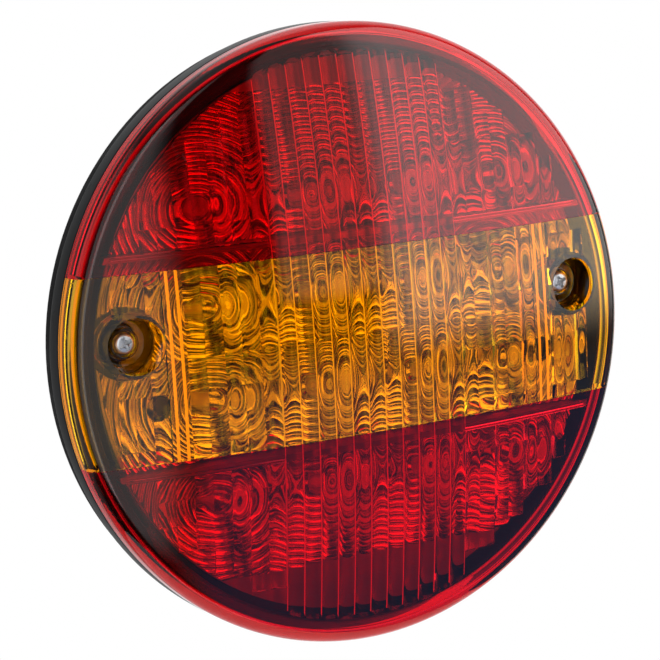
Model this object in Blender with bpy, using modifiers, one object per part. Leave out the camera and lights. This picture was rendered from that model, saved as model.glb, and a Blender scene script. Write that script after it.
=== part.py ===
"""Round three-colour rear lamp for a trailer: red, amber and red lens on a black base, standing on its edge.

The lamp is modelled face up (height runs from the back plane to the lens) round one axis, and the
empty lamp_axis then turns it upright, so the lens faces -Y and the back plane is y = 0.
"""
import math

import bmesh
import bpy
from mathutils import Matrix

MM = 0.001

# ---- driving dimensions, in millimetres ----
LAMP_RADIUS = 70.0
TURN_STEPS = 64
GAP = 0.3

# base: flat back plate, step out over the gasket, rim, and a spigot inside the lens skirt
FLOOR_THICK = 2.5
WALL_THICK = 2.5
GASKET_THICK = 4.0
GASKET_INSET = 0.9
GASKET_WIDTH = 7.8
RIM_TOP = 9.5
RIM_CHAMFER = 0.6
SPIGOT_INSET = 3.0
SPIGOT_WALL = 2.0
SPIGOT_TOP = 13.3

# lens: upright skirt, rounded shoulder and a shallow dome
LENS_THICK = 2.5
SKIRT_WALL = 2.7
SKIRT_STRAIGHT = 3.3
SHOULDER_RADIUS = 3.8
DOME_RISE = 6.6
BAND_HALF_HEIGHT = 20.7

# lens seal in a groove of the rim
SEAL_INSET = 1.0
SEAL_WIDTH = 1.0
SEAL_THICK = 0.9

# lens screws and the pockets they sit in
SCREW_EDGE = 14.15
SCREW_RISE = 5.3
POCKET_MOUTH_RADIUS = 6.2
POCKET_FOOT_RADIUS = 5.1
POCKET_WALL = 1.3
POCKET_DEPTH = 7.4
POCKET_FLOOR = 1.6
COLLAR_OUTER_RADIUS = 3.35
COLLAR_HEIGHT = 1.1
SCREW_HEAD_RADIUS = 2.45
SCREW_HEAD_HEIGHT = 1.6
SCREW_SHANK_RADIUS = 1.45
SCREW_SHANK_LENGTH = 7.0
SCREW_CROSS_WIDTH = 0.85
SCREW_CROSS_DEPTH = 1.0
SCREW_CROSS_TURN = 25.0
POCKET_SEAL_THICK = 1.1
POCKET_SEAL_RADIUS = 3.5
BOSS_RADIUS = 4.2
LENS_INSERT_RADIUS = 2.5
LENS_INSERT_LENGTH = 3.4

# lugs of the base that key the lens beside each colour joint
LUG_WIDTH = 2.4
LUG_DEPTH = 2.2

# circuit board, its screws and posts
BOARD_INSET = 15.5
BOARD_THICK = 1.6
BOARD_SCREW_EDGE = 4.2
BOARD_SCREW_DROP = 9.85
BOARD_SCREW_HEAD_RADIUS = 2.3
BOARD_SCREW_HEAD_HEIGHT = 1.4
BOARD_SCREW_SHANK_RADIUS = 1.2
POST_RADIUS = 3.1

# light sources
LED_LENGTH = 3.5
LED_WIDTH = 2.8
LED_HEIGHT = 1.9
LED_EDGE = 5.7
RED_ROW_OFFSET = 11.7

# ring reflectors and the light dividers
REFLECTOR_LIFT = 3.0
REFLECTOR_THICK = 2.0
REFLECTOR_CLEARANCE = 0.5
REFLECTOR_SCREW_EDGE = 9.2
LEG_RADIUS = 1.3
WINDOW_RADIUS = 2.8
RING_WIDTH = 1.2
RING_HEIGHT = 0.5
RING_EDGE_MARGIN = 0.4
DIVIDER_OFFSET = 3.0
DIVIDER_THICK = 1.4

# back fixings and cable inlet
FIXING_SPACING = 45.0
FIXING_INSERT_RADIUS = 4.0
FIXING_THREAD_RADIUS = 2.5
FIXING_INSERT_LENGTH = 3.9
FIXING_BOSS_WALL = 2.0
INLET_DROP = 27.5
INLET_RADIUS = 5.3
GROMMET_BORE_RADIUS = 3.4
GROMMET_FLANGE_RADIUS = 6.9
GROMMET_FLANGE_THICK = 1.4

# small board parts
CONNECTOR_SIZE = (10.5, 4.6, 2.7)
RESISTOR_SIZE = (6.3, 3.2, 0.7)
DIODE_SIZE = (4.3, 2.6, 2.1)
REGULATOR_SIZE = (6.6, 6.1, 2.3)

# ---- sizes that follow from the driving dimensions ----
LENS_BASE = RIM_TOP + GAP
SHOULDER_BASE = LENS_BASE + SKIRT_STRAIGHT
SHOULDER_SWEEP = math.radians(79.0)
FACE_RADIUS = LAMP_RADIUS - SHOULDER_RADIUS + SHOULDER_RADIUS * math.cos(SHOULDER_SWEEP)
FACE_EDGE = SHOULDER_BASE + SHOULDER_RADIUS * math.sin(SHOULDER_SWEEP)
SPIGOT_RADIUS = LAMP_RADIUS - SPIGOT_INSET
SKIRT_INNER_RADIUS = LAMP_RADIUS - SKIRT_WALL
GASKET_RADIUS = LAMP_RADIUS - GASKET_INSET
PLATE_RADIUS = GASKET_RADIUS - GASKET_WIDTH - GAP
TRAY_RADIUS = PLATE_RADIUS - WALL_THICK
FLANGE_UNDER = GASKET_THICK + GAP
FLANGE_TOP = FLANGE_UNDER + FLOOR_THICK
SCREW_X = math.sqrt((LAMP_RADIUS - SCREW_EDGE) ** 2 - SCREW_RISE ** 2)
BOARD_RADIUS = LAMP_RADIUS - BOARD_INSET
BOARD_TOP = FLANGE_TOP
BOARD_UNDER = BOARD_TOP - BOARD_THICK
PARTS_BASE = BOARD_TOP + GAP
REFLECTOR_UNDER = PARTS_BASE + REFLECTOR_LIFT
REFLECTOR_TOP = REFLECTOR_UNDER + REFLECTOR_THICK
DIVIDER_Y = BAND_HALF_HEIGHT + DIVIDER_OFFSET
DIVIDER_REACH = DIVIDER_OFFSET + DIVIDER_THICK / 2.0 + REFLECTOR_CLEARANCE
RING_OUTER_RADIUS = RED_ROW_OFFSET - DIVIDER_REACH - RING_EDGE_MARGIN


def face_height(radius):
    """Height of the outside of the lens dome at a distance from the lamp axis."""
    return FACE_EDGE + DOME_RISE * (1.0 - (radius / FACE_RADIUS) ** 2)


POCKET_MOUTH = face_height(LAMP_RADIUS - SCREW_EDGE)
POCKET_BED = POCKET_MOUTH - POCKET_DEPTH
POCKET_UNDER = POCKET_BED - POCKET_FLOOR
HEAD_SEAT = POCKET_BED
BOSS_TOP = POCKET_UNDER - POCKET_SEAL_THICK - 2.0 * GAP

LED_ROWS = (
    ("upper", BAND_HALF_HEIGHT + RED_ROW_OFFSET),
    ("amber_top", BAND_HALF_HEIGHT / 2.0),
    ("amber_bottom", -BAND_HALF_HEIGHT / 2.0),
    ("lower", -BAND_HALF_HEIGHT - RED_ROW_OFFSET),
)
LED_OUTER_X = math.sqrt((BOARD_RADIUS - LED_EDGE) ** 2 - LED_ROWS[0][1] ** 2)
LED_COLUMNS = (-LED_OUTER_X, -LED_OUTER_X / 3.0, LED_OUTER_X / 3.0, LED_OUTER_X)

# ---- start from an empty scene ----
for old in list(bpy.data.objects):
    bpy.data.objects.remove(old, do_unlink=True)

LAMP = bpy.data.collections.new("trailer_tail_light")
CUTTERS = bpy.data.collections.new("cutters")
bpy.context.scene.collection.children.link(LAMP)
bpy.context.scene.collection.children.link(CUTTERS)

LAMP_AXIS = bpy.data.objects.new("lamp_axis", None)
LAMP_AXIS.rotation_euler = (math.radians(90.0), 0.0, 0.0)
LAMP.objects.link(LAMP_AXIS)


# ---- materials ----
def principled(name, color, roughness, metallic=0.0, alpha=1.0):
    """A Principled BSDF material of one colour."""
    made = bpy.data.materials.new(name)
    made.use_nodes = True
    shader = made.node_tree.nodes["Principled BSDF"]
    shader.inputs["Base Color"].default_value = (*color, 1.0)
    shader.inputs["Roughness"].default_value = roughness
    shader.inputs["Metallic"].default_value = metallic
    shader.inputs["Alpha"].default_value = alpha
    made.diffuse_color = (*color, alpha)
    return made


BLACK_PLASTIC = principled("black_plastic", (0.02, 0.022, 0.025), 0.35)
BLACK_RUBBER = principled("black_rubber", (0.018, 0.018, 0.018), 0.75)
RED_LENS = principled("red_lens", (0.62, 0.01, 0.02), 0.06, alpha=0.85)
AMBER_LENS = principled("amber_lens", (0.95, 0.38, 0.01), 0.06, alpha=0.85)
METALLISED = principled("metallised", (0.75, 0.75, 0.76), 0.15, 1.0)
DIVIDER_PLASTIC = principled("divider_plastic", (0.72, 0.72, 0.73), 0.2, 1.0)
ZINC_STEEL = principled("zinc_steel", (0.68, 0.69, 0.7), 0.25, 1.0)
BRASS = principled("brass", (0.72, 0.53, 0.22), 0.3, 1.0)
SOLDER_MASK = principled("solder_mask", (0.68, 0.69, 0.65), 0.4)
LED_PACKAGE = principled("led_package", (0.85, 0.84, 0.78), 0.4)
CHIP_PLASTIC = principled("chip_plastic", (0.03, 0.03, 0.032), 0.5)
CONNECTOR_PLASTIC = principled("connector_plastic", (0.8, 0.78, 0.7), 0.45)
SEAL_RUBBER = principled("seal_rubber", (0.05, 0.05, 0.05), 0.7)


# ---- modelling tools ----
def place(obj, collection, x=0.0, y=0.0, height=0.0, turn=0.0):
    """Put an object at a place of the face-up lamp, in millimetres, and hang it on the lamp axis."""
    obj.parent = LAMP_AXIS
    obj.location = (x * MM, y * MM, height * MM)
    obj.rotation_euler = (0.0, 0.0, math.radians(turn))
    collection.objects.link(obj)


def add_part(name, mesh, material, **where):
    """A finished sub-part: its mesh, its material and its place."""
    obj = bpy.data.objects.new(name, mesh)
    mesh.materials.append(material)
    place(obj, LAMP, **where)
    return obj


def add_cutter(name, mesh, **where):
    """A shape that only cuts, joins or trims others; it is drawn as wires and never rendered."""
    obj = bpy.data.objects.new(name, mesh)
    obj.hide_render = True
    obj.display_type = 'WIRE'
    place(obj, CUTTERS, **where)
    return obj


def combine(obj, other, operation):
    """Boolean of a part with a cutter: DIFFERENCE, UNION or INTERSECT."""
    step = obj.modifiers.new(other.name, 'BOOLEAN')
    step.operation = operation
    step.solver = 'EXACT'
    step.object = other


def smooth(obj, angle=35.0):
    """Smooth shading, sharp where faces meet at more than the angle."""
    obj.data.shade_smooth()
    obj.data.set_sharp_from_angle(angle=math.radians(angle))


def mesh_from(bm, name):
    """Turn a bmesh into a mesh and free it."""
    mesh = bpy.data.meshes.new(name)
    bm.to_mesh(mesh)
    bm.free()
    return mesh


def box_mesh(name, size_x, size_y, bottom, top):
    """A box centred on its axis, standing between two heights."""
    bm = bmesh.new()
    middle = Matrix.Translation((0.0, 0.0, (bottom + top) / 2.0 * MM))
    size = Matrix.Diagonal((size_x * MM, size_y * MM, (top - bottom) * MM, 1.0))
    bmesh.ops.create_cube(bm, size=1.0, matrix=middle @ size)
    return mesh_from(bm, name)


def cylinder_mesh(name, radius, bottom, top, top_radius=None, sides=16):
    """A capped cylinder or cone on its axis, standing between two heights."""
    bm = bmesh.new()
    middle = Matrix.Translation((0.0, 0.0, (bottom + top) / 2.0 * MM))
    end_radius = radius if top_radius is None else top_radius
    bmesh.ops.create_cone(bm, cap_ends=True, segments=sides, radius1=radius * MM,
                          radius2=end_radius * MM, depth=(top - bottom) * MM, matrix=middle)
    return mesh_from(bm, name)


def chip_mesh(name, size, bevel=0.25):
    """A small moulded package with bevelled edges, standing on height 0."""
    bm = bmesh.new()
    lift = Matrix.Translation((0.0, 0.0, size[2] / 2.0 * MM))
    scale = Matrix.Diagonal((size[0] * MM, size[1] * MM, size[2] * MM, 1.0))
    bmesh.ops.create_cube(bm, size=1.0, matrix=lift @ scale)
    bmesh.ops.bevel(bm, geom=bm.edges[:], offset=bevel * MM, segments=1, affect='EDGES')
    return mesh_from(bm, name)


def turned_mesh(name, outline):
    """Half outline of a turned shape: (radius, height) points from the top, down the outer side.

    An outline that starts on the axis ends on it too; any other one closes on itself as a ring.
    """
    points = [(radius * MM, 0.0, height * MM) for radius, height in outline]
    edges = [(i, i + 1) for i in range(len(points) - 1)]
    if outline[0][0] > 0.0:
        edges.append((len(points) - 1, 0))
    mesh = bpy.data.meshes.new(name)
    mesh.from_pydata(points, edges, [])
    return mesh


def turn(obj, steps=TURN_STEPS):
    """Sweep a half outline once round its axis."""
    step = obj.modifiers.new("turn", 'SCREW')
    step.axis = 'Z'
    step.steps = steps
    step.render_steps = steps
    step.use_merge_vertices = True
    step.merge_threshold = 0.00001
    step.use_smooth_shade = False


def ring_outline(outer, inner, bottom, top):
    """Square section of a ring."""
    return [(inner, top), (outer, top), (outer, bottom), (inner, bottom)]


def dome_points(drop, inset, count):
    """Points of the lens dome from its middle to its shoulder, offset inwards by drop."""
    edge = FACE_RADIUS - inset
    return [(edge * i / count, face_height(edge * i / count) - drop) for i in range(count + 1)]


def shoulder_points(radius, count):
    """Points of the lens shoulder from the dome down to the skirt, for one bending radius."""
    angles = [SHOULDER_SWEEP * (1.0 - i / count) for i in range(count + 1)]
    centre = LAMP_RADIUS - SHOULDER_RADIUS
    return [(centre + radius * math.cos(a), SHOULDER_BASE + radius * math.sin(a)) for a in angles]


# ---- base housing ----
def base_outline():
    """Back plate, step out over the gasket, chamfered rim with a seal groove, and the spigot."""
    groove_outer = LAMP_RADIUS - SEAL_INSET + GAP / 2.0
    groove_inner = groove_outer - SEAL_WIDTH - GAP
    groove_floor = RIM_TOP - SEAL_THICK - GAP
    spigot_inner = SPIGOT_RADIUS - SPIGOT_WALL
    return [
        (0.0, FLOOR_THICK),
        (TRAY_RADIUS, FLOOR_THICK),
        (TRAY_RADIUS, FLANGE_TOP),
        (spigot_inner, FLANGE_TOP),
        (spigot_inner, SPIGOT_TOP),
        (SPIGOT_RADIUS, SPIGOT_TOP),
        (SPIGOT_RADIUS, RIM_TOP),
        (groove_inner, RIM_TOP),
        (groove_inner, groove_floor),
        (groove_outer, groove_floor),
        (groove_outer, RIM_TOP),
        (LAMP_RADIUS, RIM_TOP),
        (LAMP_RADIUS, FLANGE_UNDER + RIM_CHAMFER),
        (LAMP_RADIUS - RIM_CHAMFER, FLANGE_UNDER),
        (PLATE_RADIUS, FLANGE_UNDER),
        (PLATE_RADIUS, 0.0),
        (0.0, 0.0),
    ]


def board_screw_places():
    """Two board screws under the lens screws, and two above, between the outer pairs of columns."""
    reach = BOARD_RADIUS - BOARD_SCREW_EDGE
    low_x = math.sqrt(reach ** 2 - BOARD_SCREW_DROP ** 2)
    high_x = (LED_COLUMNS[2] + LED_COLUMNS[3]) / 2.0
    high_y = math.sqrt(reach ** 2 - high_x ** 2)
    return [(-low_x, -BOARD_SCREW_DROP), (low_x, -BOARD_SCREW_DROP), (-high_x, high_y), (high_x, high_y)]


def make_base():
    """Black moulded base with its screw bosses, board posts, fixing bosses, lugs and cable inlet."""
    base = add_part("base_housing", turned_mesh("base_housing", base_outline()), BLACK_PLASTIC)
    turn(base)
    sunk = FLOOR_THICK / 2.0
    within_plate = cylinder_mesh("within_plate", PLATE_RADIUS - GAP, -1.0, BOSS_TOP + 1.0, sides=TURN_STEPS)
    within_plate = add_cutter("within_plate", within_plate)
    for side, sign in (("left", -1.0), ("right", 1.0)):
        place_at = {"x": sign * SCREW_X, "y": SCREW_RISE}
        boss = cylinder_mesh("lens_boss", BOSS_RADIUS, sunk, BOSS_TOP)
        boss = add_cutter("lens_boss_" + side, boss, **place_at)
        combine(boss, within_plate, 'INTERSECT')
        combine(base, boss, 'UNION')
        place_at = {"x": sign * FIXING_SPACING / 2.0}
        boss_radius = FIXING_INSERT_RADIUS + GAP + FIXING_BOSS_WALL
        boss = cylinder_mesh("fixing_boss", boss_radius, sunk, BOARD_UNDER - GAP)
        combine(base, add_cutter("fixing_boss_" + side, boss, **place_at), 'UNION')
    for number, (x, y) in enumerate(board_screw_places(), 1):
        post = cylinder_mesh("board_post", POST_RADIUS, sunk, BOARD_UNDER - GAP)
        combine(base, add_cutter(f"board_post_{number}", post, x=x, y=y), 'UNION')
    lug_middle = BAND_HALF_HEIGHT + LUG_WIDTH / 2.0 + GAP
    lug_reach = SPIGOT_RADIUS - SPIGOT_WALL / 2.0
    for number, (side, rise) in enumerate(((-1, -1), (-1, 1), (1, -1), (1, 1)), 1):
        angle = math.atan2(rise * lug_middle, side * math.sqrt(lug_reach ** 2 - lug_middle ** 2))
        lug = box_mesh("lug", LUG_DEPTH, LUG_WIDTH, FLANGE_TOP - 1.0, SPIGOT_TOP + 0.8)
        spot = {"x": (lug_reach - LUG_DEPTH / 2.0) * math.cos(angle),
                "y": (lug_reach - LUG_DEPTH / 2.0) * math.sin(angle), "turn": math.degrees(angle)}
        combine(base, add_cutter(f"lug_{number}", lug, **spot), 'UNION')
    tube_radius = POCKET_MOUTH_RADIUS + POCKET_WALL + GAP
    for side, sign in (("left", -1.0), ("right", 1.0)):
        relief = cylinder_mesh("tube_relief", tube_radius, FLANGE_TOP + GAP, SPIGOT_TOP + 1.0)
        spot = {"x": sign * SCREW_X, "y": SCREW_RISE}
        combine(base, add_cutter("tube_relief_" + side, relief, **spot), 'DIFFERENCE')
        insert_floor = BOSS_TOP - LENS_INSERT_LENGTH - 2.0 * GAP
        hole = cylinder_mesh("lens_insert_hole", LENS_INSERT_RADIUS + GAP, insert_floor, BOSS_TOP + 1.0)
        combine(base, add_cutter("lens_insert_hole_" + side, hole, **spot), 'DIFFERENCE')
        hole = cylinder_mesh("fixing_hole", FIXING_INSERT_RADIUS + GAP, -1.0, FIXING_INSERT_LENGTH + GAP)
        spot = {"x": sign * FIXING_SPACING / 2.0}
        combine(base, add_cutter("fixing_hole_" + side, hole, **spot), 'DIFFERENCE')
    for number, (x, y) in enumerate(board_screw_places(), 1):
        pilot = cylinder_mesh("pilot", BOARD_SCREW_SHANK_RADIUS + GAP, FLOOR_THICK + GAP, BOARD_UNDER + 1.0)
        combine(base, add_cutter(f"pilot_{number}", pilot, x=x, y=y), 'DIFFERENCE')
    inlet = cylinder_mesh("inlet", INLET_RADIUS, -1.0, FLOOR_THICK + 1.0)
    combine(base, add_cutter("inlet", inlet, y=-INLET_DROP), 'DIFFERENCE')
    smooth(base)


def make_gaskets():
    """Rubber mounting gasket behind the rim, lens seal in the rim groove, and the cable grommet."""
    inner = PLATE_RADIUS + GAP
    outline = ring_outline(GASKET_RADIUS, inner, 0.0, GASKET_THICK)
    gasket = add_part("mounting_gasket", turned_mesh("mounting_gasket", outline), BLACK_RUBBER)
    turn(gasket)
    smooth(gasket)
    outer = LAMP_RADIUS - SEAL_INSET
    outline = ring_outline(outer, outer - SEAL_WIDTH, RIM_TOP - SEAL_THICK, RIM_TOP)
    seal = add_part("lens_seal", turned_mesh("lens_seal", outline), SEAL_RUBBER)
    turn(seal)
    smooth(seal)
    neck = INLET_RADIUS - GAP
    flange_bed = FLOOR_THICK + GAP
    outline = [
        (GROMMET_BORE_RADIUS, flange_bed + GROMMET_FLANGE_THICK),
        (GROMMET_FLANGE_RADIUS, flange_bed + GROMMET_FLANGE_THICK),
        (GROMMET_FLANGE_RADIUS, flange_bed),
        (neck, flange_bed),
        (neck, GAP),
        (GROMMET_BORE_RADIUS, GAP),
    ]
    grommet = add_part("cable_grommet", turned_mesh("cable_grommet", outline), BLACK_RUBBER, y=-INLET_DROP)
    turn(grommet, 32)
    smooth(grommet)


# ---- lens ----
def lens_outline():
    """Outside of dome, shoulder and skirt, then the inside back up to the axis."""
    outside = dome_points(0.0, 0.0, 4)[:-1] + shoulder_points(SHOULDER_RADIUS, 4)
    inner_bend = SHOULDER_RADIUS - SKIRT_WALL
    inside = shoulder_points(inner_bend, 2)
    inside.reverse()
    dome = dome_points(LENS_THICK, SHOULDER_RADIUS - inner_bend, 4)
    dome.reverse()
    return outside + [(LAMP_RADIUS, LENS_BASE), (SKIRT_INNER_RADIUS, LENS_BASE)] + inside[:-1] + dome


def make_lens(name, material, low, high):
    """One colour of the lens: the turned shell between two heights of the lamp's face."""
    shell = add_part(name, turned_mesh(name, lens_outline()), material)
    turn(shell)
    band = box_mesh(name + "_band", 4.0 * LAMP_RADIUS, high - low, -LAMP_RADIUS, LAMP_RADIUS)
    combine(shell, add_cutter(name + "_band", band, y=(low + high) / 2.0), 'INTERSECT')
    smooth(shell)
    return shell


def add_screw_pocket(lens, side, sign):
    """Tapered pocket through the lens, closed by a floor with a collar round the screw head."""
    spot = {"x": sign * SCREW_X, "y": SCREW_RISE}
    top = POCKET_MOUTH - LENS_THICK / 2.0
    tube = cylinder_mesh("pocket_tube", POCKET_FOOT_RADIUS + POCKET_WALL, POCKET_UNDER, top,
                         POCKET_MOUTH_RADIUS + POCKET_WALL, 32)
    combine(lens, add_cutter("pocket_tube_" + side, tube, **spot), 'UNION')
    flare = (POCKET_MOUTH_RADIUS - POCKET_FOOT_RADIUS) / POCKET_DEPTH
    above = 3.0
    hollow = cylinder_mesh("pocket_hollow", POCKET_FOOT_RADIUS, POCKET_BED, POCKET_MOUTH + above,
                           POCKET_MOUTH_RADIUS + flare * above, 32)
    combine(lens, add_cutter("pocket_hollow_" + side, hollow, **spot), 'DIFFERENCE')
    collar = cylinder_mesh("collar", COLLAR_OUTER_RADIUS, POCKET_BED - POCKET_FLOOR / 2.0,
                           POCKET_BED + COLLAR_HEIGHT, sides=24)
    combine(lens, add_cutter("collar_" + side, collar, **spot), 'UNION')
    seat = cylinder_mesh("head_seat", SCREW_HEAD_RADIUS + GAP, HEAD_SEAT, POCKET_MOUTH, sides=24)
    combine(lens, add_cutter("head_seat_" + side, seat, **spot), 'DIFFERENCE')
    hole = cylinder_mesh("shank_hole", SCREW_SHANK_RADIUS + GAP, POCKET_UNDER - 1.0, POCKET_BED + 1.0)
    combine(lens, add_cutter("shank_hole_" + side, hole, **spot), 'DIFFERENCE')


def make_lenses():
    """Upper red, middle amber and lower red lens, with the two screw pockets in the amber one."""
    joint = BAND_HALF_HEIGHT + GAP / 2.0
    beyond = 2.0 * LAMP_RADIUS
    make_lens("lens_upper_red", RED_LENS, joint, beyond)
    make_lens("lens_lower_red", RED_LENS, -beyond, -joint)
    amber = make_lens("lens_amber", AMBER_LENS, -BAND_HALF_HEIGHT + GAP / 2.0, BAND_HALF_HEIGHT - GAP / 2.0)
    add_screw_pocket(amber, "left", -1.0)
    add_screw_pocket(amber, "right", 1.0)


# ---- lens screws, their inserts and pocket seals ----
def lens_screw_outline():
    """Domed pan head and shank with a short point; height 0 is under the head."""
    point = 0.7
    return [
        (0.0, SCREW_HEAD_HEIGHT),
        (0.5 * SCREW_HEAD_RADIUS, 0.93 * SCREW_HEAD_HEIGHT),
        (0.83 * SCREW_HEAD_RADIUS, 0.68 * SCREW_HEAD_HEIGHT),
        (SCREW_HEAD_RADIUS, 0.3 * SCREW_HEAD_HEIGHT),
        (SCREW_HEAD_RADIUS, 0.0),
        (SCREW_SHANK_RADIUS, 0.0),
        (SCREW_SHANK_RADIUS, point - SCREW_SHANK_LENGTH),
        (SCREW_SHANK_RADIUS - 0.5 * point, -SCREW_SHANK_LENGTH),
        (0.0, -SCREW_SHANK_LENGTH),
    ]


def make_lens_screw(side, sign):
    """Cross-recessed lens screw, with its origin on the axis that it turns about."""
    spot = {"x": sign * SCREW_X, "y": SCREW_RISE, "height": HEAD_SEAT + GAP}
    name = "lens_screw_" + side
    screw = add_part(name, turned_mesh(name, lens_screw_outline()), ZINC_STEEL, **spot)
    turn(screw, 24)
    arm = 1.5 * SCREW_HEAD_RADIUS
    low = SCREW_HEAD_HEIGHT - SCREW_CROSS_DEPTH
    for number in (1, 2):
        slot = box_mesh("cross_arm", arm, SCREW_CROSS_WIDTH, low, SCREW_HEAD_HEIGHT + 1.0)
        cutter = add_cutter(f"cross_{side}_{number}", slot, turn=SCREW_CROSS_TURN + 90.0 * number, **spot)
        combine(screw, cutter, 'DIFFERENCE')
    smooth(screw)


def make_lens_fastening():
    """Both lens screws, the brass inserts they bite in and the rings that seal the pockets."""
    for side, sign in (("left", -1.0), ("right", 1.0)):
        make_lens_screw(side, sign)
        spot = {"x": sign * SCREW_X, "y": SCREW_RISE}
        bottom = BOSS_TOP - LENS_INSERT_LENGTH - GAP
        bore = SCREW_SHANK_RADIUS + GAP
        outline = ring_outline(LENS_INSERT_RADIUS, bore, bottom, bottom + LENS_INSERT_LENGTH)
        name = "lens_insert_" + side
        insert = add_part(name, turned_mesh(name, outline), BRASS, **spot)
        turn(insert, 24)
        smooth(insert)
        bottom = BOSS_TOP + GAP
        outline = ring_outline(POCKET_SEAL_RADIUS, bore, bottom, bottom + POCKET_SEAL_THICK)
        name = "pocket_seal_" + side
        seal = add_part(name, turned_mesh(name, outline), SEAL_RUBBER, **spot)
        turn(seal, 32)
        smooth(seal)


def make_fixing_inserts():
    """Brass thread inserts in the back plate, which take the bolts from behind the panel."""
    for side, sign in (("left", -1.0), ("right", 1.0)):
        outline = ring_outline(FIXING_INSERT_RADIUS, FIXING_THREAD_RADIUS, 0.0, FIXING_INSERT_LENGTH)
        name = "fixing_insert_" + side
        insert = add_part(name, turned_mesh(name, outline), BRASS, x=sign * FIXING_SPACING / 2.0)
        turn(insert, 32)
        smooth(insert)


# ---- circuit board and what it carries ----
def make_board():
    """Round board with notches for the lens bosses, screw holes and a hole for the wires."""
    disc = cylinder_mesh("circuit_board", BOARD_RADIUS, BOARD_UNDER, BOARD_TOP, sides=TURN_STEPS)
    board = add_part("circuit_board", disc, SOLDER_MASK)
    low = BOARD_UNDER - 1.0
    high = BOARD_TOP + 1.0
    for side, sign in (("left", -1.0), ("right", 1.0)):
        notch = cylinder_mesh("boss_notch", BOSS_RADIUS + 2.0 * GAP, low, high)
        spot = {"x": sign * SCREW_X, "y": SCREW_RISE}
        combine(board, add_cutter("boss_notch_" + side, notch, **spot), 'DIFFERENCE')
    for number, (x, y) in enumerate(board_screw_places(), 1):
        hole = cylinder_mesh("board_hole", BOARD_SCREW_SHANK_RADIUS + GAP, low, high)
        combine(board, add_cutter(f"board_hole_{number}", hole, x=x, y=y), 'DIFFERENCE')
    wires = cylinder_mesh("wire_hole", INLET_RADIUS - 1.0, low, high)
    combine(board, add_cutter("wire_hole", wires, y=-INLET_DROP), 'DIFFERENCE')
    smooth(board)


def make_board_screws():
    """Four small pan-head screws that hold the board on its posts."""
    shank = PARTS_BASE - FLOOR_THICK - 2.0 * GAP
    outline = [
        (0.0, BOARD_SCREW_HEAD_HEIGHT),
        (0.7 * BOARD_SCREW_HEAD_RADIUS, 0.8 * BOARD_SCREW_HEAD_HEIGHT),
        (BOARD_SCREW_HEAD_RADIUS, 0.35 * BOARD_SCREW_HEAD_HEIGHT),
        (BOARD_SCREW_HEAD_RADIUS, 0.0),
        (BOARD_SCREW_SHANK_RADIUS, 0.0),
        (BOARD_SCREW_SHANK_RADIUS, -shank),
        (0.0, -shank),
    ]
    for number, (x, y) in enumerate(board_screw_places(), 1):
        name = f"board_screw_{number}"
        screw = add_part(name, turned_mesh(name, outline), ZINC_STEEL, x=x, y=y, height=PARTS_BASE)
        turn(screw, 16)
        smooth(screw)


def make_leds():
    """One light source at each column of each row."""
    package = chip_mesh("led", (LED_LENGTH, LED_WIDTH, LED_HEIGHT))
    package.materials.append(LED_PACKAGE)
    for row, y in LED_ROWS:
        for column, x in enumerate(LED_COLUMNS, 1):
            led = bpy.data.objects.new(f"led_{row}_{column}", package)
            place(led, LAMP, x=x, y=y, height=PARTS_BASE)


def make_board_parts():
    """Wire connector, two resistors, reverse-polarity diode and current regulator."""
    between = (LED_COLUMNS[2] + LED_COLUMNS[3]) / 2.0
    row = LED_ROWS[0][1]
    chips = (
        ("wire_connector", CONNECTOR_SIZE, CONNECTOR_PLASTIC, 0.0, 0.0),
        ("resistor_1", RESISTOR_SIZE, CHIP_PLASTIC, -between, row),
        ("resistor_2", RESISTOR_SIZE, CHIP_PLASTIC, between, row),
        ("protection_diode", DIODE_SIZE, CHIP_PLASTIC, -between, -row),
        ("current_regulator", REGULATOR_SIZE, CHIP_PLASTIC, between, -row),
    )
    for name, size, material, x, y in chips:
        add_part(name, chip_mesh(name, size), material, x=x, y=y, height=PARTS_BASE)


# ---- ring reflectors and light dividers ----
def inner_room(name, inset):
    """Solid of the room under the lens, kept a clearance away from the dome."""
    edge = SPIGOT_RADIUS - SPIGOT_WALL - inset
    top = [(edge * i / 6.0, face_height(edge * i / 6.0) - LENS_THICK - inset) for i in range(7)]
    room = add_cutter(name, turned_mesh(name, top + [(edge, PARTS_BASE), (0.0, PARTS_BASE)]))
    turn(room)
    return room


def add_reflector_cell(reflector, name, x, y):
    """One raised ring round a light source, and the window that the light source looks through."""
    outline = ring_outline(RING_OUTER_RADIUS, RING_OUTER_RADIUS - RING_WIDTH,
                           REFLECTOR_TOP - REFLECTOR_THICK / 2.0, REFLECTOR_TOP + RING_HEIGHT)
    ring = add_cutter(name + "_ring", turned_mesh(name, outline), x=x, y=y)
    turn(ring, 20)
    combine(reflector, ring, 'UNION')
    window = cylinder_mesh(name, WINDOW_RADIUS, REFLECTOR_UNDER - 1.0, REFLECTOR_TOP + 1.0)
    combine(reflector, add_cutter(name + "_window", window, x=x, y=y), 'DIFFERENCE')


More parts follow.
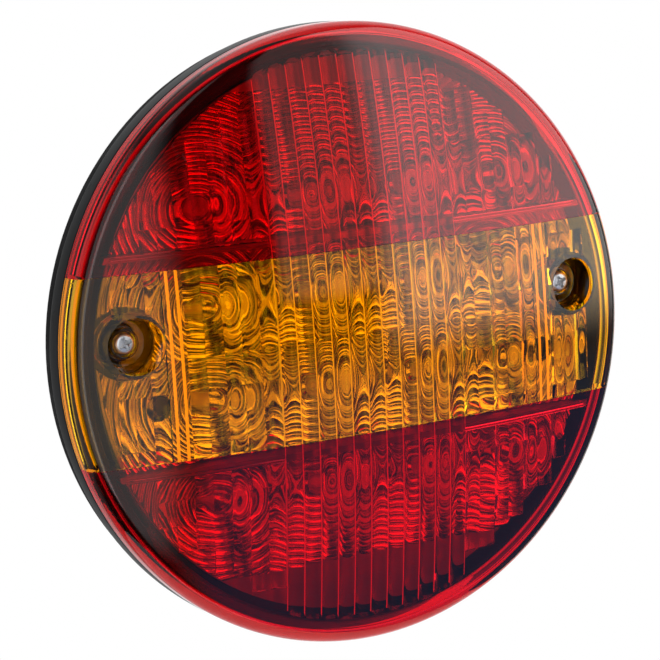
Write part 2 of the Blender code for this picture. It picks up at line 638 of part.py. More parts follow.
def make_reflector(name, rows, low, high, half_width, leg_rows):
    """Metallised plate on legs, with a ring and a window at each light source of its rows."""
    edge_radius = SPIGOT_RADIUS - SPIGOT_WALL - WALL_THICK
    disc = cylinder_mesh(name, edge_radius, REFLECTOR_UNDER, REFLECTOR_TOP, sides=TURN_STEPS)
    reflector = add_part(name, disc, METALLISED)
    field = box_mesh(name, 2.0 * half_width, high - low, REFLECTOR_UNDER - 1.0, REFLECTOR_TOP + 1.0)
    combine(reflector, add_cutter(name + "_field", field, y=(low + high) / 2.0), 'INTERSECT')
    leg_x = (LED_COLUMNS[1] + LED_COLUMNS[0]) / 2.0
    for x in (leg_x, 0.0, -leg_x):
        for y in leg_rows:
            leg = cylinder_mesh(name, LEG_RADIUS, PARTS_BASE, REFLECTOR_TOP - 0.5, sides=12)
            combine(reflector, add_cutter(f"{name}_leg_{x:.0f}_{y:.0f}", leg, x=x, y=y), 'UNION')
    for row in rows:
        for x in LED_COLUMNS:
            add_reflector_cell(reflector, f"{name}_{x:.0f}_{row:.0f}", x, row)
    smooth(reflector)


def make_light_guides():
    """Reflectors behind each colour, and the two walls that keep the colours apart."""
    near = BAND_HALF_HEIGHT + DIVIDER_REACH
    inside = DIVIDER_Y - DIVIDER_THICK / 2.0 - REFLECTOR_CLEARANCE
    wide = LAMP_RADIUS
    leg_edge = LEG_RADIUS + GAP
    red_leg = near + leg_edge
    amber_leg = inside - leg_edge
    upper, amber_top, amber_bottom, lower = [y for row, y in LED_ROWS]
    make_reflector("reflector_upper", (upper,), near, wide, wide, (red_leg,))
    make_reflector("reflector_amber", (amber_top, amber_bottom), -inside, inside,
                   SCREW_X - REFLECTOR_SCREW_EDGE, (-amber_leg, amber_leg))
    make_reflector("reflector_lower", (lower,), -wide, -near, wide, (-red_leg,))
    room = inner_room("divider_room", REFLECTOR_CLEARANCE)
    for name, sign in (("divider_upper", 1.0), ("divider_lower", -1.0)):
        wall = box_mesh(name, 2.0 * LAMP_RADIUS, DIVIDER_THICK, 0.0, 2.0 * FACE_EDGE)
        divider = add_part(name, wall, DIVIDER_PLASTIC, y=sign * DIVIDER_Y)
        combine(divider, room, 'INTERSECT')
        smooth(divider)


make_base()
make_gaskets()
make_lenses()
make_lens_fastening()
make_fixing_inserts()
make_board()
make_board_screws()
make_leds()
make_board_parts()
make_light_guides()
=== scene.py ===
"""Round rear lamp of a trailer: a red, amber and red lens over ring reflectors, on a black moulded base.

It stands on its edge with the lens towards -Y. Sizes are in millimetres: a distance from the lamp's
axis, and a height that runs from the back plane (y = 0) towards the lens.
"""
import math

import bmesh
import bpy
from mathutils import Matrix, Vector
from mathutils.geometry import delaunay_2d_cdt


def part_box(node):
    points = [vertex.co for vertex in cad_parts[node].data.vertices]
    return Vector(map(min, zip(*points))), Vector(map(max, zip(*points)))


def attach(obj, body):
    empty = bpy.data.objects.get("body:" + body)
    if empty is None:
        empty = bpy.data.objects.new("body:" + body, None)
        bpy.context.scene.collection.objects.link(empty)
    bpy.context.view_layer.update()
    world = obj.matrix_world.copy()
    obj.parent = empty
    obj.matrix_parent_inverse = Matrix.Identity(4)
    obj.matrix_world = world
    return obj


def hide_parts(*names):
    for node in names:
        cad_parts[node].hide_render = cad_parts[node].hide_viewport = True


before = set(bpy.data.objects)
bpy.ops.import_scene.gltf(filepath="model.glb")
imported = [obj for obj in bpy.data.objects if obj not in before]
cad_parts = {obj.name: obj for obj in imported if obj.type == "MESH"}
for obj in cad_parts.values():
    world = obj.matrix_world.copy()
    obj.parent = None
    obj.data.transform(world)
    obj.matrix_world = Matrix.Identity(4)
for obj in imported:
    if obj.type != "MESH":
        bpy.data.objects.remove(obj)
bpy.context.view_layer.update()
MM = 0.001


# ---- Base housing ----
# Black ABS moulding: flat back plate inside the gasket, rim that the lens stands on, and a spigot that
# locates the lens skirt. Bosses take the brass inserts, posts carry the board, four lugs key the lens.
class Wire:
    """A value in a material's tree. Sums of wires are written as sums, other nodes come from node()."""

    def __init__(self, tree, socket):
        self.tree = tree
        self.socket = socket

    def node(self, kind, settings=None, sockets=None, out=0):
        """Add a node: its type, its settings, then the value or wire of each of its sockets."""
        made = self.tree.nodes.new(kind)
        for name, value in (settings or {}).items():
            setattr(made, name, value)
        for name, value in (sockets or {}).items():
            if isinstance(value, Wire):
                self.tree.links.new(value.socket, made.inputs[name])
            else:
                made.inputs[name].default_value = value
        return Wire(self.tree, made.outputs[out])

    def sum(self, operation, first, second):
        return self.node('ShaderNodeMath', {"operation": operation}, {0: first, 1: second})

    def __add__(self, other):
        return self.sum('ADD', self, other)

    def __radd__(self, other):
        return self.sum('ADD', other, self)

    def __sub__(self, other):
        return self.sum('SUBTRACT', self, other)

    def __rsub__(self, other):
        return self.sum('SUBTRACT', other, self)

    def __mul__(self, other):
        return self.sum('MULTIPLY', self, other)

    def __rmul__(self, other):
        return self.sum('MULTIPLY', other, self)

    def rise(self, low, high):
        """0 below low and 1 above high, with a smooth step between them."""
        return self.node('ShaderNodeMapRange', {"interpolation_type": 'SMOOTHSTEP'},
                         {"Value": self, "From Min": low, "From Max": high})


def new_material(name, **uniform):
    """A material with uniform values on its shader, that shader, and a wire of the piece's own place."""
    made = bpy.data.materials.new(name)
    made.use_nodes = True
    tree = made.node_tree
    shader = tree.nodes["Principled BSDF"]
    for socket, value in uniform.items():
        socket = socket.replace("_", " ")
        shader.inputs[socket].default_value = (*value, 1.0) if isinstance(value, tuple) else value
    place = Wire(tree, tree.nodes.new('ShaderNodeTexCoord').outputs["Object"])
    return made, shader, place


def feed(shader, socket, wire):
    """Let a wire drive one socket of a shader."""
    wire.tree.links.new(wire.socket, shader.inputs[socket])


def noise(place, scale, detail=2.0, rough=0.5):
    """Even noise of about this many patches in a metre."""
    return place.node('ShaderNodeTexNoise', None,
                      {"Vector": place, "Scale": scale, "Detail": detail, "Roughness": rough})


def hairlines(place, scale, width, turn):
    """Fine scratches: thin bent lines, kept in patches so that they stop and start."""
    turned_place = place.node('ShaderNodeMapping', None,
                              {"Vector": place, "Rotation": turn, "Scale": (1.0, 1.0, 0.12)})
    bands = noise(turned_place, scale, 3.0, 0.6)
    away = place.node('ShaderNodeMath', {"operation": 'ABSOLUTE'}, {0: bands - 0.5})
    return (1.0 - away.rise(0.0, width)) * noise(place, 90.0, 1.0).rise(0.52, 0.66)


def bumped(place, height, strength, distance):
    """Surface normal of a height pattern."""
    return place.node('ShaderNodeBump', None,
                      {"Height": height, "Strength": strength, "Distance": distance})


def mixed(place, amount, first, second):
    """Colour between two colours."""
    return place.node('ShaderNodeMix', {"data_type": 'RGBA'}, {0: amount, 6: first, 7: second}, out=2)


def rounded(corners, steps=4):
    """Outline through (radius, height, set-back) corners; a set-back above 0 rounds its corner."""
    outline = []
    for i, (r, h, back) in enumerate(corners):
        here = Vector((r, h))
        if back == 0.0:
            outline.append(here)
            continue
        before = Vector(corners[i - 1][:2])
        after = Vector(corners[(i + 1) % len(corners)][:2])
        start = here + (before - here).normalized() * back
        end = here + (after - here).normalized() * back
        for step in range(steps + 1):
            t = step / steps
            outline.append(start * (1 - t) ** 2 + here * 2 * t * (1 - t) + end * t ** 2)
    return outline


def turned(outline, steps=96, x=0.0, z=0.0, bm=None):
    """Closed mesh of a half outline turned round a front-facing axis at x, z; it can add to a mesh."""
    bm = bm or bmesh.new()
    rings = []
    for r, h in outline:
        if r < 1e-6:
            rings.append([bm.verts.new((x * MM, -h * MM, z * MM))])
            continue
        angles = [2.0 * math.pi * i / steps for i in range(steps)]
        rings.append([bm.verts.new(((x + r * math.cos(a)) * MM, -h * MM, (z + r * math.sin(a)) * MM))
                      for a in angles])
    open_ended = any(len(ring) == 1 for ring in rings)
    for ring, after in zip(rings, rings[1:] + ([] if open_ended else rings[:1])):
        for i in range(steps):
            j = (i + 1) % steps
            if len(ring) == 1:
                bm.faces.new((ring[0], after[i], after[j]))
            elif len(after) == 1:
                bm.faces.new((ring[i], after[0], ring[j]))
            else:
                bm.faces.new((ring[i], after[i], after[j], ring[j]))
    return bm


def drum(radius, low, high, x=0.0, z=0.0, steps=32, top=None, bm=None):
    """Closed cylinder or cone between two heights."""
    top = radius if top is None else top
    return turned([(0.0, high), (top, high), (radius, low), (0.0, low)], steps, x, z, bm)


def block(size_x, size_z, low, high, x=0.0, z=0.0, turn=0.0, bm=None):
    """Closed box between two heights, turned about the front-facing axis by an angle."""
    bm = bm or bmesh.new()
    corners = [(-0.5, -0.5), (0.5, -0.5), (0.5, 0.5), (-0.5, 0.5)]
    places = [(x + u * size_x * math.cos(turn) - v * size_z * math.sin(turn),
               z + u * size_x * math.sin(turn) + v * size_z * math.cos(turn)) for u, v in corners]
    lower, upper = ([bm.verts.new((px * MM, -h * MM, pz * MM)) for px, pz in places] for h in (low, high))
    bm.faces.new(lower)
    bm.faces.new(upper[::-1])
    for i in range(4):
        j = (i + 1) % 4
        bm.faces.new((lower[i], upper[i], upper[j], lower[j]))
    return bm


def piece(name, bm, material, sharp=32.0):
    """Object of a mesh, with its faces outwards, smooth but for edges sharper than an angle."""
    bmesh.ops.recalc_face_normals(bm, faces=bm.faces[:])
    mesh = bpy.data.meshes.new(name)
    bm.to_mesh(mesh)
    bm.free()
    mesh.shade_smooth()
    mesh.set_sharp_from_angle(angle=math.radians(sharp))
    mesh.materials.append(material)
    made = bpy.data.objects.new(name, mesh)
    bpy.context.scene.collection.objects.link(made)
    return made


def carved(obj, steps, sharp=32.0):
    """Apply joins and cuts, given as (operation, mesh) in order, and leave a plain mesh."""
    cutters = []
    for operation, bm in steps:
        cutter = piece("cutter", bm, obj.data.materials[0])
        cutters.append(cutter)
        step = obj.modifiers.new("step", 'BOOLEAN')
        step.operation = operation
        step.solver = 'EXACT'
        step.object = cutter
    bpy.context.view_layer.update()
    shape = obj.evaluated_get(bpy.context.evaluated_depsgraph_get())
    mesh = bpy.data.meshes.new_from_object(shape)
    obj.modifiers.clear()
    obj.data = mesh
    mesh.shade_smooth()
    mesh.set_sharp_from_angle(angle=math.radians(sharp))
    for cutter in cutters:
        bpy.data.objects.remove(cutter)
    return obj


LAMP_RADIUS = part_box("base_housing")[1].x / MM
PLATE_RADIUS = 61.0
RIM_TOP = 9.5
SPIGOT_TOP = 13.3
SCREW_PLACES = ((-55.598, 5.3), (55.598, 5.3))
FIXING_PLACES = ((-22.5, 0.0), (22.5, 0.0))
BOARD_SCREW_PLACES = ((-49.33, -9.85), (49.33, -9.85), (-24.33, 44.0), (24.33, 44.0))

black_plastic, shader, place = new_material("black_plastic", Specular_IOR_Level=0.3)
grain = noise(place, 5200.0, 2.0)
blotch = noise(place, 60.0, 3.0)
rub = hairlines(place, 520.0, 0.012, (0.4, 0.2, 0.9))
feed(shader, "Base Color", mixed(place, blotch.rise(0.35, 0.75),
                                 (0.010, 0.0108, 0.012, 1.0), (0.022, 0.023, 0.026, 1.0)))
feed(shader, "Roughness", 0.30 + 0.16 * blotch + 0.22 * rub + 0.06 * grain)
feed(shader, "Normal", bumped(place, grain * 0.6 + rub * 0.5, 0.25, 0.00004))

base_outline = rounded([
    (0.0, 2.5, 0.0), (58.5, 2.5, 0.4), (58.5, 6.8, 0.3), (65.0, 6.8, 0.4), (65.0, SPIGOT_TOP, 0.3),
    (67.0, SPIGOT_TOP, 0.4), (67.0, RIM_TOP, 0.2), (67.85, RIM_TOP, 0.1), (67.85, 8.3, 0.1),
    (69.15, 8.3, 0.1), (69.15, RIM_TOP, 0.1), (LAMP_RADIUS, RIM_TOP, 0.25), (LAMP_RADIUS, 4.9, 0.5),
    (69.4, 4.3, 0.4), (PLATE_RADIUS, 4.3, 0.2), (PLATE_RADIUS, 0.0, 0.35), (0.0, 0.0, 0.0),
])
base = piece("lamp_base", turned(base_outline, 180), black_plastic)
joins = bmesh.new()
for x, z in SCREW_PLACES:
    drum(4.2, 1.2, 8.13, x, z, 40, bm=joins)
for x, z in FIXING_PLACES:
    drum(6.3, 1.2, 4.9, x, z, 40, bm=joins)
for x, z in BOARD_SCREW_PLACES:
    drum(3.1, 1.2, 4.9, x, z, 32, bm=joins)
for side in (-1.0, 1.0):
    for rise in (-1.0, 1.0):
        angle = math.atan2(rise * 22.2, side * math.sqrt(66.0 ** 2 - 22.2 ** 2))
        block(2.2, 2.4, 5.8, 14.1, 64.9 * math.cos(angle), 64.9 * math.sin(angle), angle, joins)
cuts = bmesh.new()
for x, z in SCREW_PLACES:
    drum(2.55, 4.1, 9.0, x, z, 32, bm=cuts)
for x, z in FIXING_PLACES:
    drum(4.05, -1.0, 4.1, x, z, 40, bm=cuts)
for x, z in BOARD_SCREW_PLACES:
    drum(1.25, 2.8, 6.0, x, z, 24, bm=cuts)
drum(5.3, -1.0, 4.0, 0.0, -27.5, 48, bm=cuts)
carved(base, [('UNION', joins), ('DIFFERENCE', cuts)])
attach(base, "base")
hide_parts("base_housing")


# ---- Mounting gasket ----
# Flat ring of black foam rubber, stuck round the back plate and squeezed between the rim and the panel.
# Its face is dull and slightly porous.
black_rubber, shader, place = new_material("black_rubber", Specular_IOR_Level=0.3)
pores = place.node('ShaderNodeTexVoronoi', {"feature": 'F1'}, {"Vector": place, "Scale": 2600.0})
dust = noise(place, 140.0, 4.0)
feed(shader, "Base Color", mixed(place, dust.rise(0.45, 0.8),
                                 (0.012, 0.012, 0.013, 1.0), (0.05, 0.05, 0.052, 1.0)))
feed(shader, "Roughness", 0.66 + 0.2 * dust)
feed(shader, "Normal", bumped(place, pores, 0.35, 0.00008))
low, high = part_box("mounting_gasket")
gasket_outer = high.x / MM
gasket_top = -low.y / MM
outline = rounded([(61.25, gasket_top, 0.3), (gasket_outer, gasket_top, 0.7), (gasket_outer, 0.0, 0.7),
                   (61.25, 0.0, 0.3)])
gasket = piece("panel_gasket", turned(outline, 180), black_rubber)
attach(gasket, "base")
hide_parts("mounting_gasket")

# ---- Lens ----
# Three colours of clear acrylic moulded on to each other: red, amber, red. Smooth outside; inside, eleven
# upright flutes run through the middle of all three, and rectangular pillows fill both sides.
FACE_RADIUS = 66.925
FACE_EDGE = 16.83
DOME_RISE = 6.6
SHOULDER_CENTRE = 66.2
SHOULDER_BASE = 13.1
LENS_BASE = 9.8
JOINT = 20.7
FIELD_RADIUS = 64.2
CELL_WIDTH = 4.18
CELL_HEIGHT = 5.9
WALL = 2.0
FLUTE_DEPTH = 0.42
PILLOW_DEPTH_X = 0.32
PILLOW_DEPTH_Z = 0.20
PILLOW_TILT = 0.16
RIB_DEPTH = 0.4
CREASE = 0.13
LENS_STEPS = 240
half_field = CELL_WIDTH * 5.5


def face_height(radius):
    """Height of the outside of the dome at a distance from the axis."""
    return FACE_EDGE + DOME_RISE * (1.0 - (radius / FACE_RADIUS) ** 2)


def grid_lines(bands, parts=6):
    """Lines through every column or row: (place, its number, place in it from -1 to 1)."""
    lines = []
    for number, (kind, low, high) in enumerate(bands):
        crease = CREASE if kind == "flute" else 0.05
        for step in range(parts + 1):
            share = step / parts
            lines.append((low + crease + (high - low - 2.0 * crease) * share, number, 2.0 * share - 1.0))
    return lines


def relief(x, z, u, v, column, row):
    """Depth of the flutes, ribs and pillows on the inside of the lens."""
    kind, x_low, x_high = column
    row_kind, z_low, z_high = row
    radius = math.hypot(x, z)
    if kind == "flute":
        fade = min(1.0, max(0.0, (64.0 - radius) / 0.7))
        return FLUTE_DEPTH * (1.0 - u * u) * fade
    if kind == "rib":
        return RIB_DEPTH * math.sqrt(max(0.0, 1.0 - u * u)) * min(1.0, max(0.0, (63.8 - radius) / 0.7))
    if row_kind == "rib":
        return RIB_DEPTH * math.sqrt(max(0.0, 1.0 - v * v)) * min(1.0, max(0.0, (63.8 - radius) / 0.7))
    far = math.hypot(max(abs(x_low), abs(x_high)), max(abs(z_low), abs(z_high)))
    if kind == "plain" or row_kind == "plain" or far > 63.4:
        return 0.0
    tilt_x = PILLOW_TILT * u * (1 if round(x_low / CELL_WIDTH - 0.5) % 2 else -1)
    tilt_z = PILLOW_TILT * v * (1 if round(z_low / CELL_HEIGHT) % 2 else -1)
    pillow = PILLOW_DEPTH_X * (1.0 - u * u) + PILLOW_DEPTH_Z * (1.0 - v * v)
    return 2.0 * PILLOW_TILT + tilt_x + tilt_z + pillow


def lens_shell(columns, rows):
    """Whole lens as one closed mesh, with the relief of these columns and rows inside."""
    flat = [(FIELD_RADIUS * math.cos(2.0 * math.pi * i / LENS_STEPS),
             FIELD_RADIUS * math.sin(2.0 * math.pi * i / LENS_STEPS)) for i in range(LENS_STEPS)]
    heights = [face_height(FIELD_RADIUS) - WALL] * LENS_STEPS
    for z, row, v in grid_lines(rows):
        for x, column, u in grid_lines(columns):
            if math.hypot(x, z) < FIELD_RADIUS - 0.15:
                flat.append((x, z))
                depth = relief(x, z, u, v, columns[column], rows[row])
                heights.append(face_height(math.hypot(x, z)) - WALL - depth)
    points, _, faces, origin, _, _ = delaunay_2d_cdt([Vector(p) for p in flat], [], [], 0, 1e-7)
    bm = bmesh.new()
    verts = [bm.verts.new((p.x * MM, -heights[origin[i][0]] * MM, p.y * MM))
             for i, p in enumerate(points)]
    for face in faces:
        bm.faces.new([verts[i] for i in face])
    outline = [(FIELD_RADIUS, face_height(FIELD_RADIUS) - WALL)]
    for i in range(9):
        a = math.radians(79.0 * (1.0 - i / 8.0))
        outline.append((SHOULDER_CENTRE + 1.1 * math.cos(a), SHOULDER_BASE + 1.1 * math.sin(a)))
    outline += [(67.3, LENS_BASE + 0.2), (67.5, LENS_BASE), (68.5, LENS_BASE), (69.2, LENS_BASE),
                (LAMP_RADIUS - 0.35, LENS_BASE),
                (LAMP_RADIUS - 0.08, LENS_BASE + 0.1), (LAMP_RADIUS, LENS_BASE + 0.35)]
    for i in range(13):
        a = math.radians(79.0 * i / 12.0)
        outline.append((SHOULDER_CENTRE + 3.8 * math.cos(a), SHOULDER_BASE + 3.8 * math.sin(a)))
    outline += [(FACE_RADIUS * i / 24.0, face_height(FACE_RADIUS * i / 24.0)) for i in range(23, -1, -1)]
    skin = turned(outline, LENS_STEPS)
    joined_mesh = bpy.data.meshes.new("skin")
    skin.to_mesh(joined_mesh)
    skin.free()
    bm.from_mesh(joined_mesh)
    bpy.data.meshes.remove(joined_mesh)
    bmesh.ops.remove_doubles(bm, verts=bm.verts[:], dist=0.000002)
    borders = [(c[1], CREASE) for c in columns if c[0] == "flute"] + [(half_field, CREASE)]
    borders += [((c[1] + c[2]) / 2.0, 0.35) for c in columns if c[0] == "rib"]
    # Skirt-foot and groove-bottom faces take the second material, whose emission is a painted glow.
    for face in bm.faces:
        middle = face.calc_center_median() / MM
        foot = (all(-v.co.y / MM < LENS_BASE + 0.3 for v in face.verts)
                and not 68.5 < math.hypot(middle.x, middle.z) < 69.2)
        groove = (-middle.y < face_height(math.hypot(middle.x, middle.z)) - 1.0
                  and any(abs(middle.x - border) < reach for border, reach in borders)
                  and math.hypot(middle.x, middle.z) < 63.2)
        face.material_index = 1 if foot or groove else 0
    return bm


def cut_band(bm, low, high):
    """Keep what lies between two levels and close the cut faces."""
    for level, side in ((low, 1.0), (high, -1.0)):
        if abs(level) > LAMP_RADIUS:
            continue
        everything = bm.verts[:] + bm.edges[:] + bm.faces[:]
        bmesh.ops.bisect_plane(bm, geom=everything, plane_co=(0.0, 0.0, level * MM),
                               plane_no=(0.0, 0.0, side), clear_inner=True, dist=1e-8)
        rim = [e for e in bm.edges if e.is_boundary]
        bmesh.ops.triangle_fill(bm, edges=rim, use_beauty=True, use_dissolve=False)
    return bm


def lens_plastic(name, tint):
    """Clear coloured acrylic with faint hairlines, patches of haze and a slight ripple."""
    made, shader, place = new_material(name, Base_Color=tint, Transmission_Weight=1.0, IOR=1.49,
                                       Specular_IOR_Level=0.5)
    haze = noise(place, 45.0, 3.0)
    lines = hairlines(place, 420.0, 0.006, (0.3, 0.1, 0.7))
    feed(shader, "Roughness", 0.012 + 0.02 * haze.rise(0.4, 0.8) + 0.10 * lines)
    ripple = noise(place, 38.0, 1.0)
    feed(shader, "Normal", bumped(place, ripple * 0.7 + lines * 0.05, 0.12, 0.0004))
    return made


def lens_edge(name, tint, painted_glow):
    """Satin skirt foot and groove bottoms of the same plastic, with a painted glow: an emission that stands
    in for the light led to them through the lens.
    """
    made, shader, place = new_material(name, Emission_Color=tint, Emission_Strength=painted_glow)
    mottle = noise(place, 300.0, 2.0)
    feed(shader, "Base Color", mixed(place, mottle, (*tint, 1.0), (*[c * 0.85 for c in tint], 1.0)))
    feed(shader, "Roughness", 0.45 + 0.2 * mottle)
    return made


# The two edge materials below carry a painted glow (emission) for light led through the plastic; the lens
# is no lamp.
red_lens = lens_plastic("red_lens", (0.84, 0.004, 0.012))
amber_lens = lens_plastic("amber_lens", (1.0, 0.54, 0.004))
red_painted_glow_edge = lens_edge("red_lens_edge_painted_glow", (1.0, 0.004, 0.03), 0.25)
amber_painted_glow_edge = lens_edge("amber_lens_edge_painted_glow", (1.0, 0.45, 0.01), 0.6)

flutes = [("flute", CELL_WIDTH * (i - 5.5), CELL_WIDTH * (i - 4.5)) for i in range(11)]


def side_columns(right):
    """Columns to the right of the flutes, and their mirror image to the left."""
    left = [(kind, -high, -low) for kind, low, high in reversed(right)]
    return left + flutes + right


def steps_of(kind, low, width, count):
    """Equal spans of one kind, side by side from a low edge on."""
    return [(kind, low + width * i, low + width * (i + 1)) for i in range(count)]


amber_right = steps_of("pillow", half_field, CELL_WIDTH, 5)
edge = half_field + 5 * CELL_WIDTH
amber_right += [("plain", edge, 44.7), ("rib", 44.7, 45.4), ("plain", 45.4, 46.9), ("rib", 46.9, 47.6),
                ("plain", 47.6, 48.5)]
amber_right += steps_of("pillow", 48.5, 3.7, 3) + [("plain", 59.6, 64.5)]
red_right = steps_of("pillow", half_field, CELL_WIDTH, 10)
amber_rows = [("pillow", -22.0, -17.7)] + steps_of("pillow", -17.7, CELL_HEIGHT, 6)
amber_rows += [("pillow", 17.7, 22.0)]
red_rows = [("plain", 19.5, 23.6), ("rib", 23.6, 24.5), ("pillow", 24.5, 29.5)]
red_rows += steps_of("pillow", 29.5, CELL_HEIGHT, 6)
lower_rows = [(kind, -high, -low) for kind, low, high in reversed(red_rows)]
WELD = 0.02

BEYOND_RIM = 99.0

for side, rows, low, high in (("upper", red_rows, JOINT + WELD, BEYOND_RIM),
                              ("lower", lower_rows, -BEYOND_RIM, -JOINT - WELD)):
    shell = cut_band(lens_shell(side_columns(red_right), rows), low, high)
    lens = piece(side + "_red_lens", shell, red_lens, 9.0)
    lens.data.materials.append(red_painted_glow_edge)
    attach(lens, "lens")
    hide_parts("lens_" + side + "_red")

# ---- Amber lens with its screw pockets ----
# The amber part is moulded with two deep pockets: a tapered tube through the lens, a floor with a collar
# round the screw head, and a hole for the screw's shank.
POCKET_BED = 11.43
POCKET_UNDER = 9.83
amber_shell = cut_band(lens_shell(side_columns(amber_right), amber_rows), -JOINT + WELD, JOINT - WELD)
amber = piece("middle_amber_lens", amber_shell, amber_lens, 9.0)
amber.data.materials.append(amber_painted_glow_edge)
tubes = bmesh.new()
hollows = bmesh.new()
hollow = rounded([
    (0.0, 8.0, 0.0), (1.75, 8.0, 0.0), (1.75, POCKET_BED, 0.1), (2.75, POCKET_BED, 0.1),
    (2.75, POCKET_BED + 1.1, 0.2), (3.35, POCKET_BED + 1.1, 0.2), (3.35, POCKET_BED, 0.2),
    (5.1, POCKET_BED, 0.35), (6.2, 18.83, 0.0), (6.7, 22.2, 0.0), (0.0, 22.2, 0.0),
])
for x, z in SCREW_PLACES:
    drum(6.4, POCKET_UNDER, 17.3, x, z, 64, 7.5, tubes)
    turned(hollow, 64, x, z, hollows)
carved(amber, [('UNION', tubes), ('DIFFERENCE', hollows)], 9.0)
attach(amber, "lens")
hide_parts("lens_amber")

# ---- Lens screws ----
# Zinc-plated pan-head screws with a cross recess, one at the bottom of each pocket; they pull the lens
# down on to the base.
HEAD_SEAT = 11.73
zinc, shader, place = new_material("zinc_steel", Metallic=1.0)
wear = noise(place, 900.0, 4.0)
feed(shader, "Base Color", mixed(place, wear.rise(0.4, 0.7),
                                 (0.70, 0.71, 0.73, 1.0), (0.52, 0.53, 0.55, 1.0)))
feed(shader, "Roughness", 0.26 + 0.2 * wear)
feed(shader, "Normal", bumped(place, noise(place, 5000.0, 2.0), 0.15, 0.00003))
for (x, z), side in zip(SCREW_PLACES, ("left", "right")):
    outline = rounded([
        (0.0, HEAD_SEAT + 1.6, 0.0), (1.85, HEAD_SEAT + 1.5, 0.3), (2.38, HEAD_SEAT + 1.05, 0.3),
        (2.45, HEAD_SEAT + 0.3, 0.15), (2.45, HEAD_SEAT, 0.08), (1.45, HEAD_SEAT, 0.1),
        (1.45, HEAD_SEAT - 6.3, 0.1), (1.1, HEAD_SEAT - 7.0, 0.1), (0.0, HEAD_SEAT - 7.0, 0.0),
    ])
    screw = piece("lens_screw_" + side + "_zinc", turned(outline, 48, x, z), zinc)
    arms = [block(3.1, 0.8, HEAD_SEAT + 0.55, HEAD_SEAT + 3.0, x, z, math.radians(a))
            for a in (25.0, 115.0)]
    point = drum(0.3, HEAD_SEAT + 0.2, HEAD_SEAT + 3.0, x, z, 16, 1.6)
    carved(screw, [('DIFFERENCE', cut) for cut in arms + [point]])
    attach(screw, "screw_" + side)
    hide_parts("lens_screw_" + side)

# ---- Ring reflectors ----
# Metallised plates under each colour, with fine concentric rings round every light source and a round
# window that the light source looks through. They stand on legs above the board, and the middle one runs
# out to both sides round the screw pockets.
COLUMNS = [sum(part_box(f"led_upper_{i}")[k].x for k in (0, 1)) / 2.0 / MM for i in (1, 2, 3, 4)]
ROWS = {row: sum(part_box(f"led_{row}_1")[k].z for k in (0, 1)) / 2.0 / MM
        for row in ("upper", "amber_top", "amber_bottom", "lower")}
PLATE_UNDER = 10.1
PLATE_TOP = 10.9
RING_PITCH = 1.75
RING_RISE = 0.75
WINDOW = 2.4
metallised, shader, place = new_material("metallised", Metallic=1.0)
film = noise(place, 120.0, 3.0)
feed(shader, "Base Color", mixed(place, film.rise(0.35, 0.75),
                                 (0.80, 0.80, 0.81, 1.0), (0.66, 0.66, 0.67, 1.0)))
feed(shader, "Roughness", 0.07 + 0.08 * film)
feed(shader, "Normal", bumped(place, noise(place, 700.0, 2.0), 0.08, 0.0001))
satin_plate, shader, place = new_material("satin_plate", Metallic=1.0)
film = noise(place, 90.0, 3.0)
feed(shader, "Base Color", mixed(place, film.rise(0.35, 0.75),
                                 (0.42, 0.42, 0.43, 1.0), (0.30, 0.30, 0.31, 1.0)))
feed(shader, "Roughness", 0.3 + 0.15 * film)
feed(shader, "Normal", bumped(place, noise(place, 220.0, 2.0), 0.3, 0.0004))


def ring_cell(x, z, walls):
    """Rings and window cup round one light source, cut off at walls given as (point, direction)."""
    outline = [(WINDOW + 0.2, PLATE_TOP - 0.3), (1.75, 9.05), (1.5, 9.12),
               (WINDOW - 0.1, PLATE_TOP - 0.2)]
    radius = WINDOW
    wave = ((0.0, 0.0), (0.16, 0.55), (0.36, 0.9), (0.58, 1.0), (0.8, 0.72), (0.94, 0.25))
    while radius < 31.0:
        for share, rise in wave:
            slope = 0.045 * min(12.0, radius + share * RING_PITCH - WINDOW)
            outline.append((radius + share * RING_PITCH, PLATE_TOP + 0.1 + slope + RING_RISE * rise))
        radius += RING_PITCH
    bm = bmesh.new()
    steps = 72
    rings = [[bm.verts.new(((x + r * math.cos(2.0 * math.pi * i / steps)) * MM, -h * MM,
                            (z + r * math.sin(2.0 * math.pi * i / steps)) * MM)) for i in range(steps)]
             for r, h in outline]
    for ring, after in zip(rings, rings[1:]):
        for i in range(steps):
            j = (i + 1) % steps
            bm.faces.new((ring[i], ring[j], after[j], after[i]))
    for (px, pz), (nx, nz) in walls:
        bmesh.ops.bisect_plane(bm, geom=bm.verts[:] + bm.edges[:] + bm.faces[:], dist=1e-8,
                               plane_co=(px * MM, 0.0, pz * MM), plane_no=(nx, 0.0, nz), clear_outer=True)
    rim = [e for e in bm.edges if e.is_boundary]
    fallen = bmesh.ops.extrude_edge_only(bm, edges=rim)["geom"]
    for vert in [g for g in fallen if isinstance(g, bmesh.types.BMVert)]:
        vert.co.y = -(PLATE_TOP - 0.3) * MM
    floor_edges = [g for g in fallen if isinstance(g, bmesh.types.BMEdge) and g.is_boundary]
    bmesh.ops.triangle_fill(bm, edges=floor_edges, use_beauty=True, use_dissolve=False)
    bmesh.ops.remove_doubles(bm, verts=bm.verts[:], dist=0.000001)
    return bm


def plate(points):
    """Closed flat plate of an outline in x and z."""
    bm = bmesh.new()
    lower, upper = ([bm.verts.new((x * MM, -h * MM, z * MM)) for x, z in points]
                    for h in (PLATE_UNDER, PLATE_TOP))
    bm.faces.new(lower)
    bm.faces.new(upper[::-1])
    for i in range(len(points)):
        j = (i + 1) % len(points)
        bm.faces.new((lower[i], upper[i], upper[j], lower[j]))
    return bm


